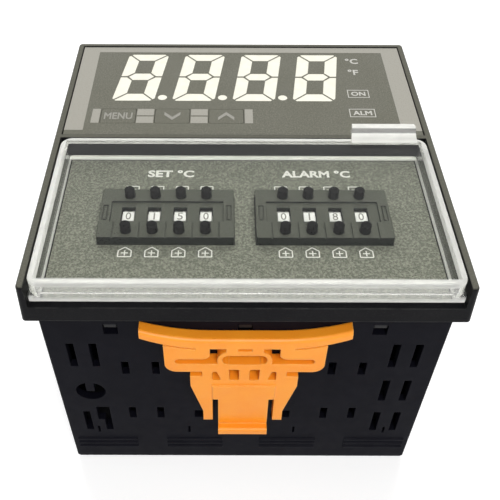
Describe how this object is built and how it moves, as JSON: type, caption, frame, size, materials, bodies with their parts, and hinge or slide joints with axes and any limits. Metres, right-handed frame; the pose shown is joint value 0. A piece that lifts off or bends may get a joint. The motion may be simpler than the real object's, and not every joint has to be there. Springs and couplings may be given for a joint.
{
  "type": "panel temperature controller",
  "caption": "Square panel-mounted temperature controller with digital display, keys, setting thumbwheels under a clear flip cover, orange clamp brackets and rear screw terminals.",
  "frame": {"origin": "centre of the rear plane, on which the controller stands with its front facing up", "axes": "+X to the right of the front, +Y up the front towards the display, +Z out of the front"},
  "size_m": [0.096, 0.1022, 0.0777],
  "materials": {
    "case_plastic": "fine moulded texture, blue-black",
    "bezel_plastic": "satin black moulding",
    "overlay_film": "charcoal film with fine grain",
    "display_face": "dark grey",
    "segment_white": "cream white diffuser",
    "base_plastic": "black moulding",
    "plated_brass": "plated contact metal",
    "screw_steel": "zinc plated",
    "board_green": "laminate with solder mask",
    "part_black": "moulded black",
    "core_steel": "varnished laminations",
    "coil_copper": "enamelled winding",
    "can_aluminium": "sleeved can",
    "relay_plastic": "moulded relay cover",
    "lamp_red": "diffused lamp",
    "switch_grey": "dark grey moulding",
    "clear_cover": "clear polished moulding",
    "orange_plastic": "orange moulding, soft gloss",
    "wheel_white": "white drum",
    "button_black": "black push button"
  },
  "bodies": {
    "housing": {"case": "case_plastic", "bezel": "bezel_plastic", "front_chassis": "base_plastic", "front_overlay": "overlay_film", "display_module": "display_face", "display_segments": "segment_white", "deck_label": "overlay_film", "terminal_base": "base_plastic", "terminal_plates": "plated_brass", "terminal_screws": "screw_steel", "power_board": "board_green", "control_board": "board_green", "display_board": "board_green", "switch_board": "board_green", "board_headers": "part_black", "transformer_core": "core_steel", "transformer_coil": "coil_copper", "capacitor": "can_aluminium", "output_relay": "relay_plastic", "alarm_relay": "relay_plastic", "circuit_chips": "part_black", "key_switches": "part_black", "indicator_lamps": "lamp_red", "set_switch_body": "switch_grey", "alarm_switch_body": "switch_grey", "set_axle": "screw_steel", "alarm_axle": "screw_steel"},
    "cover": {"cover": "clear_cover"},
    "lower_bracket": {"lower_bracket": "orange_plastic"},
    "upper_bracket": {"upper_bracket": "orange_plastic"},
    "mode_key": {"mode_key": "overlay_film"},
    "down_key": {"down_key": "overlay_film"},
    "up_key": {"up_key": "overlay_film"},
    "set_wheel_1": {"set_wheel_1": "wheel_white"},
    "set_plus_1": {"set_plus_1": "button_black"},
    "set_minus_1": {"set_minus_1": "button_black"},
    "set_wheel_2": {"set_wheel_2": "wheel_white"},
    "set_plus_2": {"set_plus_2": "button_black"},
    "set_minus_2": {"set_minus_2": "button_black"},
    "set_wheel_3": {"set_wheel_3": "wheel_white"},
    "set_plus_3": {"set_plus_3": "button_black"},
    "set_minus_3": {"set_minus_3": "button_black"},
    "set_wheel_4": {"set_wheel_4": "wheel_white"},
    "set_plus_4": {"set_plus_4": "button_black"},
    "set_minus_4": {"set_minus_4": "button_black"},
    "alarm_wheel_1": {"alarm_wheel_1": "wheel_white"},
    "alarm_plus_1": {"alarm_plus_1": "button_black"},
    "alarm_minus_1": {"alarm_minus_1": "button_black"},
    "alarm_wheel_2": {"alarm_wheel_2": "wheel_white"},
    "alarm_plus_2": {"alarm_plus_2": "button_black"},
    "alarm_minus_2": {"alarm_minus_2": "button_black"},
    "alarm_wheel_3": {"alarm_wheel_3": "wheel_white"},
    "alarm_plus_3": {"alarm_plus_3": "button_black"},
    "alarm_minus_3": {"alarm_minus_3": "button_black"},
    "alarm_wheel_4": {"alarm_wheel_4": "wheel_white"},
    "alarm_plus_4": {"alarm_plus_4": "button_black"},
    "alarm_minus_4": {"alarm_minus_4": "button_black"}
  },
  "joints": [
    {"name": "cover_hinge", "type": "hinge", "parent": "housing", "child": "cover", "pos_m": [0, -0.0456, 0.0703], "axis": [1, 0, 0], "range_deg": [0, 90]},
    {"name": "lower_bracket_slide", "type": "slide", "parent": "housing", "child": "lower_bracket", "axis": [0, 0, 1], "range_m": [-0.0073, 0.0028]},
    {"name": "upper_bracket_slide", "type": "slide", "parent": "housing", "child": "upper_bracket", "axis": [0, 0, 1], "range_m": [-0.0073, 0.0028]},
    {"name": "mode_key_press", "type": "slide", "parent": "housing", "child": "mode_key", "axis": [0, 0, -1], "range_m": [0, 0.0005], "stiffness_N_per_m": 900, "springref_m": -0.0005},
    {"name": "down_key_press", "type": "slide", "parent": "housing", "child": "down_key", "axis": [0, 0, -1], "range_m": [0, 0.0005], "stiffness_N_per_m": 900, "springref_m": -0.0005},
    {"name": "up_key_press", "type": "slide", "parent": "housing", "child": "up_key", "axis": [0, 0, -1], "range_m": [0, 0.0005], "stiffness_N_per_m": 900, "springref_m": -0.0005},
    {"name": "set_wheel_1_turn", "type": "hinge", "parent": "housing", "child": "set_wheel_1", "pos_m": [-0.018, -0.0221, 0.0661], "axis": [1, 0, 0], "continuous": true},
    {"name": "set_plus_1_press", "type": "slide", "parent": "housing", "child": "set_plus_1", "axis": [0, 0, -1], "range_m": [0, 0.0014], "stiffness_N_per_m": 500, "springref_m": -0.0008},
    {"name": "set_minus_1_press", "type": "slide", "parent": "housing", "child": "set_minus_1", "axis": [0, 0, -1], "range_m": [0, 0.0014], "stiffness_N_per_m": 500, "springref_m": -0.0008},
    {"name": "set_wheel_2_turn", "type": "hinge", "parent": "housing", "child": "set_wheel_2", "pos_m": [-0.018, -0.0221, 0.0661], "axis": [1, 0, 0], "continuous": true},
    {"name": "set_plus_2_press", "type": "slide", "parent": "housing", "child": "set_plus_2", "axis": [0, 0, -1], "range_m": [0, 0.0014], "stiffness_N_per_m": 500, "springref_m": -0.0008},
    {"name": "set_minus_2_press", "type": "slide", "parent": "housing", "child": "set_minus_2", "axis": [0, 0, -1], "range_m": [0, 0.0014], "stiffness_N_per_m": 500, "springref_m": -0.0008},
    {"name": "set_wheel_3_turn", "type": "hinge", "parent": "housing", "child": "set_wheel_3", "pos_m": [-0.018, -0.0221, 0.0661], "axis": [1, 0, 0], "continuous": true},
    {"name": "set_plus_3_press", "type": "slide", "parent": "housing", "child": "set_plus_3", "axis": [0, 0, -1], "range_m": [0, 0.0014], "stiffness_N_per_m": 500, "springref_m": -0.0008},
    {"name": "set_minus_3_press", "type": "slide", "parent": "housing", "child": "set_minus_3", "axis": [0, 0, -1], "range_m": [0, 0.0014], "stiffness_N_per_m": 500, "springref_m": -0.0008},
    {"name": "set_wheel_4_turn", "type": "hinge", "parent": "housing", "child": "set_wheel_4", "pos_m": [-0.018, -0.0221, 0.0661], "axis": [1, 0, 0], "continuous": true},
    {"name": "set_plus_4_press", "type": "slide", "parent": "housing", "child": "set_plus_4", "axis": [0, 0, -1], "range_m": [0, 0.0014], "stiffness_N_per_m": 500, "springref_m": -0.0008},
    {"name": "set_minus_4_press", "type": "slide", "parent": "housing", "child": "set_minus_4", "axis": [0, 0, -1], "range_m": [0, 0.0014], "stiffness_N_per_m": 500, "springref_m": -0.0008},
    {"name": "alarm_wheel_1_turn", "type": "hinge", "parent": "housing", "child": "alarm_wheel_1", "pos_m": [0.018, -0.0221, 0.0661], "axis": [1, 0, 0], "continuous": true},
    {"name": "alarm_plus_1_press", "type": "slide", "parent": "housing", "child": "alarm_plus_1", "axis": [0, 0, -1], "range_m": [0, 0.0014], "stiffness_N_per_m": 500, "springref_m": -0.0008},
    {"name": "alarm_minus_1_press", "type": "slide", "parent": "housing", "child": "alarm_minus_1", "axis": [0, 0, -1], "range_m": [0, 0.0014], "stiffness_N_per_m": 500, "springref_m": -0.0008},
    {"name": "alarm_wheel_2_turn", "type": "hinge", "parent": "housing", "child": "alarm_wheel_2", "pos_m": [0.018, -0.0221, 0.0661], "axis": [1, 0, 0], "continuous": true},
    {"name": "alarm_plus_2_press", "type": "slide", "parent": "housing", "child": "alarm_plus_2", "axis": [0, 0, -1], "range_m": [0, 0.0014], "stiffness_N_per_m": 500, "springref_m": -0.0008},
    {"name": "alarm_minus_2_press", "type": "slide", "parent": "housing", "child": "alarm_minus_2", "axis": [0, 0, -1], "range_m": [0, 0.0014], "stiffness_N_per_m": 500, "springref_m": -0.0008},
    {"name": "alarm_wheel_3_turn", "type": "hinge", "parent": "housing", "child": "alarm_wheel_3", "pos_m": [0.018, -0.0221, 0.0661], "axis": [1, 0, 0], "continuous": true},
    {"name": "alarm_plus_3_press", "type": "slide", "parent": "housing", "child": "alarm_plus_3", "axis": [0, 0, -1], "range_m": [0, 0.0014], "stiffness_N_per_m": 500, "springref_m": -0.0008},
    {"name": "alarm_minus_3_press", "type": "slide", "parent": "housing", "child": "alarm_minus_3", "axis": [0, 0, -1], "range_m": [0, 0.0014], "stiffness_N_per_m": 500, "springref_m": -0.0008},
    {"name": "alarm_wheel_4_turn", "type": "hinge", "parent": "housing", "child": "alarm_wheel_4", "pos_m": [0.018, -0.0221, 0.0661], "axis": [1, 0, 0], "continuous": true},
    {"name": "alarm_plus_4_press", "type": "slide", "parent": "housing", "child": "alarm_plus_4", "axis": [0, 0, -1], "range_m": [0, 0.0014], "stiffness_N_per_m": 500, "springref_m": -0.0008},
    {"name": "alarm_minus_4_press", "type": "slide", "parent": "housing", "child": "alarm_minus_4", "axis": [0, 0, -1], "range_m": [0, 0.0014], "stiffness_N_per_m": 500, "springref_m": -0.0008}
  ]
}
